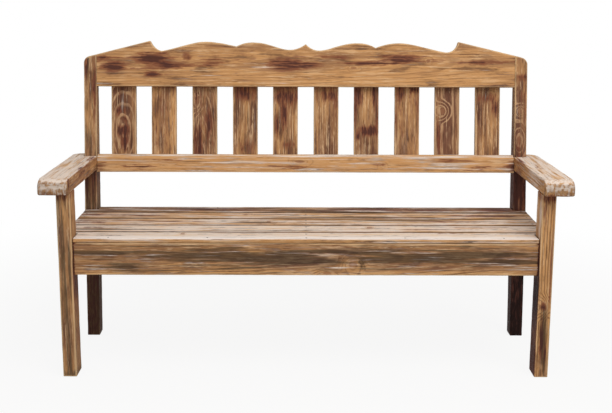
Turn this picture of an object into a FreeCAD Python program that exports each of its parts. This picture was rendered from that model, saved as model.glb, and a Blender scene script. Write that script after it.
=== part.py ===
import FreeCAD
import Part
import math
import os

from FreeCAD import Vector

# Slatted armbench of sawn softwood, in millimetres.
# X runs along the bench, Y from the sitter's knees to the back, Z up from the floor.
# The origin is on the floor, under the middle of the bench's box.

# Legs and posts
leg_span = 1500.0           # across the outer faces of the legs
leg_width = 43.0            # each leg and post, seen from the front
front_leg_depth = 75.0
post_setback = 400.0        # front leg's face to rear post's face, on the floor
post_foot_depth = 56.0
post_bend_height = 440.0    # where the post's front face turns further back
post_lower_rake = 4.3       # degrees, front face below the bend
post_upper_rake = 9.1       # degrees, front face above the bend
post_back_rake = 6.0        # degrees, back face from floor to top
post_corner_radius = 24.0   # outer top corner

# Back, measured up the raked front face from the bend
lower_rail_rise = 124.0
lower_rail_height = 61.5
lower_rail_rounding = 18.0  # worn top front edge
crest_rise = 413.5          # lower edge of the crest rail
crest_end_height = 107.5    # crest rail where it meets the posts
crest_tip_height = 154.0    # crest rail at its two shoulder tips
crest_centre_shift = -1.0   # the sawn pattern sits this far off the middle
back_rail_thickness = 26.0
back_slat_count = 10
back_slat_width = 85.0
back_slat_end_gap = 44.5    # between the last slat and the post
back_slat_thickness = 18.0
back_slat_lower_lap = 40.0  # on the back of the lower rail
back_slat_upper_lap = 50.0  # on the back of the crest rail

# Crest outline, from the shoulder tips inwards.
# Each pair is a share of the half length and a share of the tip height.
left_hook_shares = [(0.741, 1.0), (0.7185, 0.85), (0.688, 0.776)]
left_wave_shares = [(0.688, 0.776), (0.645, 0.818), (0.55, 0.932), (0.502, 0.975), (0.43, 0.968), (0.331, 0.883)]
left_inner_wave_shares = [(0.331, 0.883), (0.263, 0.969), (0.168, 0.909), (0.072, 0.809), (0.0255, 0.862)]
right_hook_shares = [(0.728, 0.996), (0.7045, 0.81), (0.668, 0.764)]
right_wave_shares = [(0.668, 0.764), (0.597, 0.837), (0.501, 0.937), (0.453, 0.962), (0.405, 0.948), (0.334, 0.86)]
right_inner_wave_shares = [(0.334, 0.86), (0.249, 0.961), (0.19, 0.932), (0.119, 0.8435), (0.071, 0.797), (0.0226, 0.85)]
crest_centre_height_share = 0.938

# Seat
seat_height = 438.0         # top of the slats
seat_slat_count = 5
seat_slat_gap = 8.0
seat_back_overhang = 3.5    # last slat stands this far behind the rear seat rail
seat_slat_thickness = 14.0
seat_end_inset = 3.0        # slat ends stand back from the legs' outer faces
seat_nosing = 2.0           # first slat stands this far in front of the apron
seat_notch_gap = 0.8        # between a notched slat and its leg or post
apron_recess = 12.0         # behind the front faces of the legs
seat_rail_height = 101.5    # apron, side rails and rear rail
seat_rail_thickness = 26.0
bearer_height = 70.0
bearer_housing = 8.0        # let into the apron and the rear rail

# Arms
arm_height = 577.5          # underside at the front face of the leg
arm_thickness = 47.5
arm_width = 90.5
arm_overhang = 36.0         # nose in front of the leg
arm_slope = 1.1             # degrees, down to the back
arm_tail = 13.0             # behind the post
arm_nose_radius = 22.0      # rolled top of the nose
arm_nose_outer_radius = 12.0
arm_nose_inner_radius = 5.0
arm_tail_radius = 38.0      # outer back corner, seen from above
arm_notch_gap = 0.3

# Joints
tenon_length = 25.0
tenon_thickness = 10.0
tenon_shoulder = 12.0       # above and below each rail's tenon
stub_tenon_length = 14.0    # side rail into the post, short of the rear rail's tenon
stub_tenon_gap = 8.0        # wood between those two tenons
arm_tenon_thickness = 15.0
arm_tenon_height = 28.0
arm_tenon_shoulder = 15.0   # in front of and behind the leg's top tenon
joint_clearance = 0.3

# Fasteners
nail_radius = 1.5
nail_length = 48.0
nail_head_radius = 3.0
nail_head_thickness = 1.2
nail_pairs_each_side = 2    # along the apron and the rear rail
nail_end_share = 0.85       # outermost of those nails, from the middle to the leg
nail_row_shares = (0.25, 0.75)
slat_screw_radius = 2.0
slat_screw_length = 36.0
slat_screw_head_radius = 4.0
slat_screw_head_thickness = 2.5
slat_screw_inset_share = 0.2
arm_screw_radius = 2.5
arm_screw_length = 74.0
arm_screw_head_radius = 5.0
arm_screw_head_thickness = 3.0
arm_screw_spread = 22.0     # between the two screws of one arm
arm_screw_depth_share = 0.68
cut_overrun = 20.0

# Places worked out from the sizes above
lower_slope = math.tan(math.radians(post_lower_rake))
back_slope = math.tan(math.radians(post_back_rake))
arm_fall = math.tan(math.radians(arm_slope))
rake_sin = math.sin(math.radians(post_upper_rake))
rake_cos = math.cos(math.radians(post_upper_rake))
outer_x = leg_span / 2
inner_x = outer_x - leg_width
middle_x = (outer_x + inner_x) / 2
bend_offset = lower_slope * post_bend_height
crest_end_rise = crest_rise + crest_end_height
back_slat_run = 2 * (inner_x - back_slat_end_gap) - back_slat_width
back_slat_pitch = back_slat_run / (back_slat_count - 1)
nail_pitch = inner_x * nail_end_share / nail_pairs_each_side


def post_depth(rise):
    """Depth of the post square to its raked front face, this far up from the bend."""
    back = post_foot_depth + back_slope * (post_bend_height + rise * rake_cos)
    front = bend_offset + rise * rake_sin
    return (back - front) / (rake_cos + back_slope * rake_sin)


back_reach = bend_offset + crest_end_rise * rake_sin + post_depth(crest_end_rise) * rake_cos
bench_depth = arm_overhang + post_setback + back_reach
leg_front = arm_overhang - bench_depth / 2
leg_back = leg_front + front_leg_depth
foot_front = leg_front + post_setback
bend_y = foot_front + bend_offset
apron_front = leg_front + apron_recess
apron_back = apron_front + seat_rail_thickness
seat_front = apron_front - seat_nosing
seat_rail_top = seat_height - seat_slat_thickness
seat_rail_bottom = seat_rail_top - seat_rail_height
slat_end_x = outer_x - seat_end_inset


def post_front_y(height):
    """Front face of the post at a height below the bend."""
    return foot_front + lower_slope * height


def post_back_y(height):
    """Back face of the post at any height."""
    return foot_front + post_foot_depth + back_slope * height


rail_tenon_front = post_front_y(seat_rail_top) + stub_tenon_length + stub_tenon_gap
rear_rail_front = rail_tenon_front - (seat_rail_thickness - tenon_thickness) / 2
rear_rail_back = rear_rail_front + seat_rail_thickness
seat_back = rear_rail_back + seat_back_overhang
seat_slat_pitch = (seat_back - seat_front + seat_slat_gap) / seat_slat_count
seat_slat_width = seat_slat_pitch - seat_slat_gap


# Shape helpers
def block(x0, x1, y0, y1, z0, z1):
    """An upright rectangular block between two corners."""
    return Part.makeBox(x1 - x0, y1 - y0, z1 - z0, Vector(x0, y0, z0))


def side_prism(profile, x0, x1):
    """A profile of (y, z) pairs, drawn out along the bench from x0 to x1."""
    points = [Vector(x0, y, z) for y, z in profile]
    face = Part.Face(Part.makePolygon(points + points[:1]))
    return face.extrude(Vector(x1 - x0, 0, 0))


def on_back(x, rise, depth):
    """A point on the raked back: along it, up it from the bend, and into it."""
    y = bend_y + rise * rake_sin + depth * rake_cos
    z = post_bend_height + rise * rake_cos - depth * rake_sin
    return Vector(x, y, z)


def back_block(x0, x1, rise0, rise1, depth0, depth1):
    """A rectangular block that stands square to the raked back."""
    corners = [(rise0, depth0), (rise1, depth0), (rise1, depth1), (rise0, depth1)]
    points = [on_back(x0, rise, depth) for rise, depth in corners]
    face = Part.Face(Part.makePolygon(points + points[:1]))
    return face.extrude(Vector(x1 - x0, 0, 0))


def pin(start, direction, radius, length, head_radius, head_thickness):
    """A nail or screw: a head at the start, and its shank along the direction."""
    shank = Part.makeCylinder(radius, length, start, direction)
    head = Part.makeCylinder(head_radius, head_thickness, start, direction)
    return shank.fuse(head).removeSplitter()


def cut_all(shape, cutters):
    """The shape less every cutter."""
    return shape.cut(Part.makeCompound(cutters)) if cutters else shape


def mirrored(shape):
    """The same piece for the other end of the bench."""
    return shape.mirror(Vector(0, 0, 0), Vector(1, 0, 0))


# Tenons, each also drawn larger as the mortise that it goes into
def back_rail_tenon(rise0, rise1, grow):
    """Tenon at the right end of a back rail."""
    depth = (back_rail_thickness - tenon_thickness) / 2
    return back_block(
        inner_x - cut_overrun * bool(grow),
        inner_x + tenon_length + grow,
        rise0 + tenon_shoulder - grow,
        rise1 - tenon_shoulder + grow,
        depth - grow,
        depth + tenon_thickness + grow,
    )


def lower_rail_tenon(grow):
    return back_rail_tenon(lower_rail_rise, lower_rail_rise + lower_rail_height, grow)


def crest_tenon(grow):
    return back_rail_tenon(crest_rise, crest_end_rise, grow)


def seat_rail_tenon(rail_front, grow):
    """Tenon at the right end of the apron or the rear seat rail."""
    front = rail_front + (seat_rail_thickness - tenon_thickness) / 2
    return block(
        inner_x - cut_overrun * bool(grow),
        inner_x + tenon_length + grow,
        front - grow,
        front + tenon_thickness + grow,
        seat_rail_bottom + tenon_shoulder - grow,
        seat_rail_top - tenon_shoulder + grow,
    )


def side_rail_tenons(grow):
    """Both tenons of the right side rail, in one prism through the rail."""
    bottom = seat_rail_bottom + tenon_shoulder - grow
    top = seat_rail_top - tenon_shoulder + grow
    front = leg_back - tenon_length - grow
    back = stub_tenon_length + grow
    profile = [(front, bottom), (post_front_y(bottom) + back, bottom), (post_front_y(top) + back, top), (front, top)]
    half = tenon_thickness / 2 + grow
    return side_prism(profile, middle_x - half, middle_x + half)


def arm_tenon(grow):
    """Tenon on top of the right front leg, up into the arm."""
    half = arm_tenon_thickness / 2 + grow
    y0 = leg_front + arm_tenon_shoulder - grow
    y1 = leg_back - arm_tenon_shoulder + grow
    top = arm_height - arm_fall * (leg_back - leg_front) + arm_tenon_height + grow
    foot = arm_height - arm_tenon_height
    return block(middle_x - half, middle_x + half, y0, y1, foot, top)


# Fasteners, each list also gives the holes when drawn with a clearance
def seat_nail_places():
    """Where a nail goes through each seat slat, as (slat, x, y)."""
    places = []
    row = range(-nail_pairs_each_side, nail_pairs_each_side + 1)
    for slat in range(seat_slat_count):
        front = seat_front + slat * seat_slat_pitch
        rows = [front + seat_slat_width * share for share in nail_row_shares]
        if slat == 0:
            tab_middle = (leg_back + front + seat_slat_width) / 2
            places += [(slat, i * nail_pitch, (apron_front + apron_back) / 2) for i in row]
            places += [(slat, side * middle_x, tab_middle) for side in (-1, 1)]
            places += [(slat, 0, rows[1])]
        elif slat == seat_slat_count - 1:
            places += [(slat, i * nail_pitch, (rear_rail_front + rear_rail_back) / 2) for i in row]
            places += [(slat, i * middle_x, rows[0]) for i in (-1, 0, 1)]
        else:
            places += [(slat, i * middle_x, y) for i in (-1, 0, 1) for y in rows]
    return places


def seat_nail(x, y, grow):
    start = Vector(x, y, seat_height)
    down = Vector(0, 0, -1)
    if grow:
        start = start - down * cut_overrun
        head = nail_head_thickness + cut_overrun
        length = nail_length + cut_overrun + grow
        return pin(start, down, nail_radius + grow, length, nail_head_radius + grow, head)
    return pin(start, down, nail_radius, nail_length, nail_head_radius, nail_head_thickness)


def back_slat_x(slat):
    """Left edge of a back slat; the row is spread evenly between the posts."""
    return back_slat_end_gap - inner_x + slat * back_slat_pitch


def slat_screws(slat, grow):
    """The four screws of one back slat, driven from behind."""
    left = back_slat_x(slat)
    inset = back_slat_width * slat_screw_inset_share
    rises = (
        lower_rail_rise + lower_rail_height - back_slat_lower_lap / 2,
        crest_rise + back_slat_upper_lap / 2,
    )
    depth = back_rail_thickness + back_slat_thickness
    forward = Vector(0, -rake_cos, rake_sin)
    screws = []
    for rise in rises:
        for x in (left + inset, left + back_slat_width - inset):
            start = on_back(x, rise, depth)
            length = slat_screw_length
            head = slat_screw_head_thickness
            if grow:
                start = start - forward * cut_overrun
                length += cut_overrun + grow
                head += cut_overrun
            screws.append(pin(start, forward, slat_screw_radius + grow, length, slat_screw_head_radius + grow, head))
    return screws


def arm_screws(grow):
    """The two screws through the right arm's lug into the post."""
    level = arm_height - arm_fall * (post_back_y(arm_height) - leg_front) + arm_thickness / 2
    rise = (level - post_bend_height) / rake_cos
    seat = on_back(outer_x, rise, post_depth(rise) * arm_screw_depth_share)
    inward = Vector(-1, 0, 0)
    screws = []
    for side in (-1, 1):
        start = Vector(inner_x + arm_width, seat.y, level + side * arm_screw_spread / 2)
        length = arm_screw_length
        head = arm_screw_head_thickness
        if grow:
            start = start - inward * cut_overrun
            length += cut_overrun + grow
            head += cut_overrun
        screws.append(pin(start, inward, arm_screw_radius + grow, length, arm_screw_head_radius + grow, head))
    return screws


# Legs and posts
def front_leg():
    """Right front leg, with its top cut to the arm's slope."""
    tops = [arm_height - arm_fall * (y - leg_front) for y in (leg_front, leg_back)]
    profile = [(leg_front, 0), (leg_back, 0), (leg_back, tops[1]), (leg_front, tops[0])]
    leg = side_prism(profile, inner_x, outer_x).fuse(arm_tenon(0)).removeSplitter()
    return cut_all(leg, [seat_rail_tenon(apron_front, joint_clearance), side_rail_tenons(joint_clearance)])


def post_top_cutter():
    """All that lies above the post's sloping, rounded top, seen square to the back."""
    tip_x = inner_x * left_hook_shares[0][0]
    fall = (crest_tip_height - crest_end_height) / (inner_x - tip_x)
    corner_rise = crest_end_rise - fall * leg_width
    turn = math.pi / 2 - math.atan(fall)
    reach = post_corner_radius * math.tan(turn / 2)
    run = reach * math.cos(math.atan(fall))
    centre_x = outer_x - post_corner_radius
    centre_rise = corner_rise - reach
    depth = -cut_overrun
    top = crest_end_rise + cut_overrun

    def at(x, rise):
        return on_back(x, rise, depth)

    start = at(inner_x - cut_overrun, crest_end_rise + fall * cut_overrun)
    arc_start = at(outer_x - run, corner_rise + fall * run)
    arc_middle = at(
        centre_x + post_corner_radius * math.cos(turn / 2),
        centre_rise + post_corner_radius * math.sin(turn / 2),
    )
    arc_end = at(outer_x, centre_rise)
    out = at(outer_x + cut_overrun, centre_rise)
    far = at(outer_x + cut_overrun, top + cut_overrun)
    near = at(inner_x - cut_overrun, top + cut_overrun)
    edges = [
        Part.makeLine(start, arc_start),
        Part.Arc(arc_start, arc_middle, arc_end).toShape(),
        Part.makeLine(arc_end, out),
        Part.makeLine(out, far),
        Part.makeLine(far, near),
        Part.makeLine(near, start),
    ]
    face = Part.Face(Part.Wire(edges))
    through = post_depth(0) + post_foot_depth + cut_overrun
    return face.extrude(Vector(0, rake_cos, -rake_sin) * through)


def rear_post():
    """Right rear post: straight back face, front face bent at the seat, rounded top."""
    reach = crest_end_rise + cut_overrun
    front_top = on_back(inner_x, reach, 0)
    profile = [
        (foot_front, 0),
        (bend_y, post_bend_height),
        (front_top.y, front_top.z),
        (post_back_y(front_top.z), front_top.z),
        (foot_front + post_foot_depth, 0),
    ]
    post = side_prism(profile, inner_x, outer_x).cut(post_top_cutter())
    mortises = [
        lower_rail_tenon(joint_clearance),
        crest_tenon(joint_clearance),
        seat_rail_tenon(rear_rail_front, joint_clearance),
        side_rail_tenons(joint_clearance),
    ]
    return cut_all(post, mortises + arm_screws(joint_clearance))


# Back
def crest_point(side, shares, depth=0):
    """A point of the crest outline from its pair of shares."""
    x = side * inner_x * shares[0] + crest_centre_shift
    return on_back(x, crest_rise + crest_tip_height * shares[1], depth)


def wave(points):
    """A smooth sawn curve through the points."""
    curve = Part.BSplineCurve()
    curve.interpolate(points)
    return curve.toShape()


def crest_rail():
    """Crest rail with its scrolled top, less the screw holes, with both tenons."""
    centre = on_back(crest_centre_shift, crest_rise + crest_tip_height * crest_centre_height_share, 0)
    left_hook = [crest_point(-1, pair) for pair in left_hook_shares]
    left_wave = [crest_point(-1, pair) for pair in left_wave_shares]
    left_inner = [crest_point(-1, pair) for pair in left_inner_wave_shares] + [centre]
    right_hook = [crest_point(1, pair) for pair in right_hook_shares]
    right_wave = [crest_point(1, pair) for pair in right_wave_shares]
    right_inner = [crest_point(1, pair) for pair in right_inner_wave_shares] + [centre]
    low_left = on_back(-inner_x, crest_rise, 0)
    low_right = on_back(inner_x, crest_rise, 0)
    end_left = on_back(-inner_x, crest_end_rise, 0)
    end_right = on_back(inner_x, crest_end_rise, 0)
    edges = [
        Part.makeLine(low_left, end_left),
        Part.makeLine(end_left, left_hook[0]),
        Part.Arc(*left_hook).toShape(),
        wave(left_wave),
        wave(left_inner),
        wave(right_inner[::-1]),
        wave(right_wave[::-1]),
        Part.Arc(*right_hook[::-1]).toShape(),
        Part.makeLine(right_hook[0], end_right),
        Part.makeLine(end_right, low_right),
        Part.makeLine(low_right, low_left),
    ]
    face = Part.Face(Part.Wire(edges))
    rail = face.extrude(Vector(0, rake_cos, -rake_sin) * back_rail_thickness)
    tenon = crest_tenon(0)
    rail = rail.fuse([tenon, mirrored(tenon)]).removeSplitter()
    return cut_all(rail, all_slat_screws(joint_clearance))


def lower_back_rail():
    """Lower rail of the back, with its top front edge worn round."""
    top = lower_rail_rise + lower_rail_height
    curve = lower_rail_rounding
    bevel = curve * (1 - math.sqrt(0.5))

    def at(rise, depth):
        return on_back(-inner_x, rise, depth)

    edges = [
        Part.makeLine(at(lower_rail_rise, 0), at(top - curve, 0)),
        Part.Arc(at(top - curve, 0), at(top - bevel, bevel), at(top, curve)).toShape(),
        Part.makeLine(at(top, curve), at(top, back_rail_thickness)),
        Part.makeLine(at(top, back_rail_thickness), at(lower_rail_rise, back_rail_thickness)),
        Part.makeLine(at(lower_rail_rise, back_rail_thickness), at(lower_rail_rise, 0)),
    ]
    rail = Part.Face(Part.Wire(edges)).extrude(Vector(2 * inner_x, 0, 0))
    tenon = lower_rail_tenon(0)
    rail = rail.fuse([tenon, mirrored(tenon)]).removeSplitter()
    return cut_all(rail, all_slat_screws(joint_clearance))


def back_slat(slat):
    """One upright slat, lapped on the back of both rails."""
    left = back_slat_x(slat)
    bottom = lower_rail_rise + lower_rail_height - back_slat_lower_lap
    top = crest_rise + back_slat_upper_lap
    depth = back_rail_thickness
    board = back_block(left, left + back_slat_width, bottom, top, depth, depth + back_slat_thickness)
    return cut_all(board, slat_screws(slat, joint_clearance))


def all_slat_screws(grow):
    return [screw for slat in range(back_slat_count) for screw in slat_screws(slat, grow)]


# Seat
def nail_holes(wanted=None):
    """Holes for the seat nails, of one slat or of all."""
    return [seat_nail(x, y, joint_clearance) for slat, x, y in seat_nail_places() if wanted in (None, slat)]


def bearer_body(grow):
    """The middle bearer, let into the rails in front and behind."""
    return block(
        -seat_rail_thickness / 2 - grow,
        seat_rail_thickness / 2 + grow,
        apron_back - bearer_housing - grow,
        rear_rail_front + bearer_housing + grow,
        seat_rail_top - bearer_height - grow,
        seat_rail_top + cut_overrun * bool(grow),
    )


def cross_rail(rail_front):
    """Apron or rear seat rail, with both tenons, housed for the bearer."""
    rail = block(-inner_x, inner_x, rail_front, rail_front + seat_rail_thickness, seat_rail_bottom, seat_rail_top)
    tenon = seat_rail_tenon(rail_front, 0)
    rail = rail.fuse([tenon, mirrored(tenon)]).removeSplitter()
    return cut_all(rail, [bearer_body(joint_clearance)] + nail_holes())


def side_rail():
    """Right side rail, its back shoulder cut to the post's rake."""
    half = seat_rail_thickness / 2
    profile = [
        (leg_back, seat_rail_bottom),
        (post_front_y(seat_rail_bottom), seat_rail_bottom),
        (post_front_y(seat_rail_top), seat_rail_top),
        (leg_back, seat_rail_top),
    ]
    rail = side_prism(profile, middle_x - half, middle_x + half)
    rail = rail.fuse(side_rail_tenons(0)).removeSplitter()
    return cut_all(rail, nail_holes())


def seat_slat(slat):
    """One seat slat; the first is notched round the legs, the last round the posts."""
    front = seat_front + slat * seat_slat_pitch
    board = block(-slat_end_x, slat_end_x, front, front + seat_slat_width, seat_rail_top, seat_height)
    notch_x = inner_x - seat_notch_gap
    low = seat_rail_top - cut_overrun
    high = seat_height + cut_overrun
    cutters = nail_holes(slat)
    if slat == 0:
        notch = block(notch_x, outer_x + cut_overrun, front - cut_overrun, leg_back + seat_notch_gap, low, high)
        cutters += [notch, mirrored(notch)]
    if slat == seat_slat_count - 1:
        start = post_front_y(seat_rail_top) - seat_notch_gap
        notch = block(notch_x, outer_x + cut_overrun, start, seat_back + cut_overrun, low, high)
        cutters += [notch, mirrored(notch)]
    return cut_all(board, cutters)


# Arms
def arm_plan(height):
    """The arm seen from above, with rounded nose and tail corners, drawn out upwards."""
    x0 = inner_x
    x1 = inner_x + arm_width
    y0 = leg_front - arm_overhang
    y1 = post_back_y(arm_height) + arm_tail
    bevel_share = 1 - math.sqrt(0.5)
    nose_in = arm_nose_inner_radius
    nose_out = arm_nose_outer_radius
    tail = arm_tail_radius

    def at(x, y):
        return Vector(x, y, 0)

    edges = [
        Part.makeLine(at(x0 + nose_in, y0), at(x1 - nose_out, y0)),
        Part.Arc(
            at(x1 - nose_out, y0),
            at(x1 - nose_out * bevel_share, y0 + nose_out * bevel_share),
            at(x1, y0 + nose_out),
        ).toShape(),
        Part.makeLine(at(x1, y0 + nose_out), at(x1, y1 - tail)),
        Part.Arc(at(x1, y1 - tail), at(x1 - tail * bevel_share, y1 - tail * bevel_share), at(x1 - tail, y1)).toShape(),
        Part.makeLine(at(x1 - tail, y1), at(x0, y1)),
        Part.makeLine(at(x0, y1), at(x0, y0 + nose_in)),
        Part.Arc(
            at(x0, y0 + nose_in),
            at(x0 + nose_in * bevel_share, y0 + nose_in * bevel_share),
            at(x0 + nose_in, y0),
        ).toShape(),
    ]
    return Part.Face(Part.Wire(edges)).extrude(Vector(0, 0, height))


def arm_side():
    """The arm seen from the side, with its rolled nose, drawn out across its width."""
    y0 = leg_front - arm_overhang
    y1 = post_back_y(arm_height) + arm_tail + cut_overrun
    roll = arm_nose_radius
    bevel = roll * (1 - math.sqrt(0.5))
    x0 = inner_x - cut_overrun

    def at(y, z):
        return Vector(x0, y, arm_height + z)

    edges = [
        Part.makeLine(at(y0, 0), at(y0, arm_thickness - roll)),
        Part.Arc(
            at(y0, arm_thickness - roll),
            at(y0 + bevel, arm_thickness - bevel),
            at(y0 + roll, arm_thickness),
        ).toShape(),
        Part.makeLine(at(y0 + roll, arm_thickness), at(y1, arm_thickness)),
        Part.makeLine(at(y1, arm_thickness), at(y1, 0)),
        Part.makeLine(at(y1, 0), at(y0, 0)),
    ]
    bar = Part.Face(Part.Wire(edges)).extrude(Vector(arm_width + 2 * cut_overrun, 0, 0))
    bar.rotate(Vector(0, leg_front, arm_height), Vector(1, 0, 0), -arm_slope)
    return bar


def arm():
    """Right arm: sits on the leg, notched round the post, tail beside it."""
    body = arm_side().common(arm_plan(arm_height + arm_thickness + cut_overrun))
    low = arm_height - arm_thickness
    high = arm_height + 2 * arm_thickness
    front_low = on_back(0, (low - post_bend_height) / rake_cos, 0).y - arm_notch_gap
    front_high = on_back(0, (high - post_bend_height) / rake_cos, 0).y - arm_notch_gap
    end = post_back_y(high) + arm_tail + cut_overrun
    profile = [(front_low, low), (front_high, high), (end, high), (end, low)]
    notch = side_prism(profile, inner_x - cut_overrun, outer_x + arm_notch_gap)
    return cut_all(body, [notch, arm_tenon(joint_clearance)] + arm_screws(joint_clearance))


def build():
    """Every piece under its own name."""
    pieces = {}
    for name, maker in (("front_leg", front_leg), ("rear_post", rear_post), ("arm", arm), ("side_rail", side_rail)):
        shape = maker()
        pieces[name + "_right"] = shape
        pieces[name + "_left"] = mirrored(shape)
    pieces["crest_rail"] = crest_rail()
    pieces["lower_back_rail"] = lower_back_rail()
    for slat in range(back_slat_count):
        pieces["back_slat_%02d" % (slat + 1)] = back_slat(slat)
    for slat in range(seat_slat_count):
        pieces["seat_slat_%d" % (slat + 1)] = seat_slat(slat)
    pieces["front_apron"] = cross_rail(apron_front)
    pieces["rear_seat_rail"] = cross_rail(rear_rail_front)
    pieces["middle_bearer"] = cut_all(bearer_body(0), nail_holes())
    pieces["seat_nails"] = Part.makeCompound([seat_nail(x, y, 0) for slat, x, y in seat_nail_places()])
    pieces["back_slat_screws"] = Part.makeCompound(all_slat_screws(0))
    right_screws = arm_screws(0)
    pieces["arm_screws"] = Part.makeCompound(right_screws + [mirrored(screw) for screw in right_screws])
    return pieces


def main():
    os.makedirs("parts", exist_ok=True)
    pieces = build()
    for name, shape in pieces.items():
        shape.exportStep("parts/" + name + ".step")
    box = Part.makeCompound(list(pieces.values())).BoundBox
    print("%d pieces, box %.1f x %.1f x %.1f mm" % (len(pieces), box.XLength, box.YLength, box.ZLength))
    print("from %.2f %.2f %.2f to %.2f %.2f %.2f" % (box.XMin, box.YMin, box.ZMin, box.XMax, box.YMax, box.ZMax))


main()
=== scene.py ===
import math
import random

import bmesh
import bpy
import numpy as np
from mathutils import Matrix, Vector, kdtree, noise


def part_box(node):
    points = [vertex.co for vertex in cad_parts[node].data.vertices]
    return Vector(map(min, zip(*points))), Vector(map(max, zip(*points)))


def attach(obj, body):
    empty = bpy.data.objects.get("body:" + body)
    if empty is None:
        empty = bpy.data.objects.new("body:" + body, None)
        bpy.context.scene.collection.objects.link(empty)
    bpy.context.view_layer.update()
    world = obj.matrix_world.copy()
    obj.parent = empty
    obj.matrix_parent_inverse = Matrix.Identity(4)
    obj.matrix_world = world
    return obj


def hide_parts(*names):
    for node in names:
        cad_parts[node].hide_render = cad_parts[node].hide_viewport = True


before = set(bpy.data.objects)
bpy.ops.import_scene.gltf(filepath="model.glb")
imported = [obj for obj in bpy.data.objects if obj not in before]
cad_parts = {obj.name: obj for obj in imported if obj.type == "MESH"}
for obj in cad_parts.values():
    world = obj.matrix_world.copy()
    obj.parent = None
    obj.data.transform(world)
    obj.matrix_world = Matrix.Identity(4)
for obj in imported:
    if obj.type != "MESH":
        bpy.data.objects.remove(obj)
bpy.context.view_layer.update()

bl_info = {
    "name": "Slatted Armbench",
    "version": (1, 0, 0),
    "blender": (4, 5, 0),
    "location": "3D View > Sidebar > Bench",
    "description": "Dresses the packed bench in worn boards of burnt and brushed pine",
    "category": "Object",
}

X, Y, Z = Vector((1, 0, 0)), Vector((0, 1, 0)), Vector((0, 0, 1))

# In metres: how far from a plane a packed corner still lies on it, and how near two corners are one
ON_PLANE = 0.0001
WELD = 0.00001


def linear(code):
    """A colour written as sRGB hex, in Blender's linear values."""
    levels = [int(code[i : i + 2], 16) / 255 for i in (1, 3, 5)]
    return [c / 12.92 if c <= 0.04045 else ((c + 0.055) / 1.055) ** 2.4 for c in levels]


def colour(name, description, code):
    """A colour that the panel shows."""
    return bpy.props.FloatVectorProperty(
        name=name, description=description, default=linear(code), size=3, min=0, max=1, subtype="COLOR"
    )


def length(name, description, default):
    """A size in metres that the panel shows."""
    return bpy.props.FloatProperty(
        name=name, description=description, default=default, min=0, precision=5, unit="LENGTH", subtype="DISTANCE"
    )


def share(name, description, default, subtype="NONE"):
    """A plain number or an angle that the panel shows."""
    return bpy.props.FloatProperty(name=name, description=description, default=default, subtype=subtype)


# ---------------------------------------------------------------- settings


class BenchBoards(bpy.types.PropertyGroup):
    """How far use has worn the boards."""

    open_edge: length("Open edges", "Radius worn on the edges that hands and feet reach", 0.003)
    joint_edge: length("Joint edges", "Radius left on ends that meet another board", 0.0007)
    wear_band: length("Wear band", "How far a pale edge reaches into the board", 0.0065)
    unevenness: length("Unevenness", "Deepest hollow left by planing and brushing", 0.0007)
    chip: length("Chips", "Deepest chip along a worn edge", 0.0012)
    arm_edge: length("Arm edges", "Radius of an arm's long edges", 0.0045)
    nose_edge: length("Nose edge", "Radius of an arm's upper inner edge at its nose", 0.009)
    nose_crown: length("Nose crown", "Radius of an arm's upper outer edge at its nose", 0.02)
    nose_roll: length("Nose roll", "Radius of the rolled top of an arm's nose", 0.03)
    nose_run: length("Nose run", "How far back the rounding of the nose reaches", 0.045)
    nose_outer: length("Outer nose corner", "Radius of an arm's outer front corner", 0.013)
    nose_inner: length("Inner nose corner", "Radius of an arm's inner front corner", 0.007)
    tail_corner: length("Tail corner", "Radius of an arm's outer back corner", 0.038)
    station: length("Mesh along the grain", "Spacing of the mesh along a board", 0.014)
    row: length("Mesh across the grain", "Spacing of the mesh across a board", 0.006)


class BenchWood(bpy.types.PropertyGroup):
    """Colours and grain of the pine."""

    honey: colour("Honey", "Brushed wood of the lightest boards", "#c4925f")
    umber: colour("Umber", "Brushed wood of the darkest boards", "#6f4a38")
    shadow: colour("Shadow", "Scorched patches between the streaks", "#4e3227")
    latewood: colour("Latewood", "Dark lines of the year rings in light boards", "#6e472c")
    ridge: colour("Ridge", "Lines of the year rings in dark boards", "#c09872")
    straw: colour("Straw", "Pale hairs of early wood", "#dcb88f")
    hair: colour("Hair", "Fine dark hairs along the grain", "#3d241b")
    # Laid on upper faces, where it is partly sun bleaching and partly painted sheen of the white surroundings
    bleached: colour("Bleached", "Sun-bleached upper faces", "#e0cfc0")
    soot: colour("Soot", "Grey-brown streaks in the grain", "#3f3226")
    ember: colour("Ember", "Reddish rim of a burn", "#763f2d")
    burnt: colour("Burnt", "Wood where the flame stood", "#482a25")
    char: colour("Char", "Wood burnt black", "#1e1210")
    knot: colour("Knot", "Heart of a knot", "#8f6246")
    # Laid along the worn edges of the seat slats, where it is soiling and painted shade of the gaps between them,
    # and on the front of each arm's nose
    grime_and_gap_shade: colour("Grime", "Dirt in the gaps of the seat", "#35251b")
    edge: colour("Worn edge", "Wood laid bare along the edges", "#d8b589")
    silvered: colour("Silvered", "Front edge of the seat, palest of all", "#ece3dc")
    wander: length("Ring wander", "How far a ring strays along the board", 0.022)


class BenchFasteners(bpy.types.PropertyGroup):
    """Nails and screws."""

    nail_head: length("Nail head", "Radius of a nail's head", 0.003)
    nail_rise: length("Nail rise", "How far a nail's head stands up", 0.0006)
    screw_head: length("Screw head", "Radius of a slat screw's head", 0.004)
    arm_screw_head: length("Arm screw head", "Radius of an arm screw's head", 0.005)
    screw_rise: length("Screw rise", "How far a screw's head stands up", 0.0008)
    steel: colour("Steel", "Oil-blackened steel", "#4a413a")
    rust: colour("Rust", "Brown bloom on the steel", "#86664c")


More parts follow.
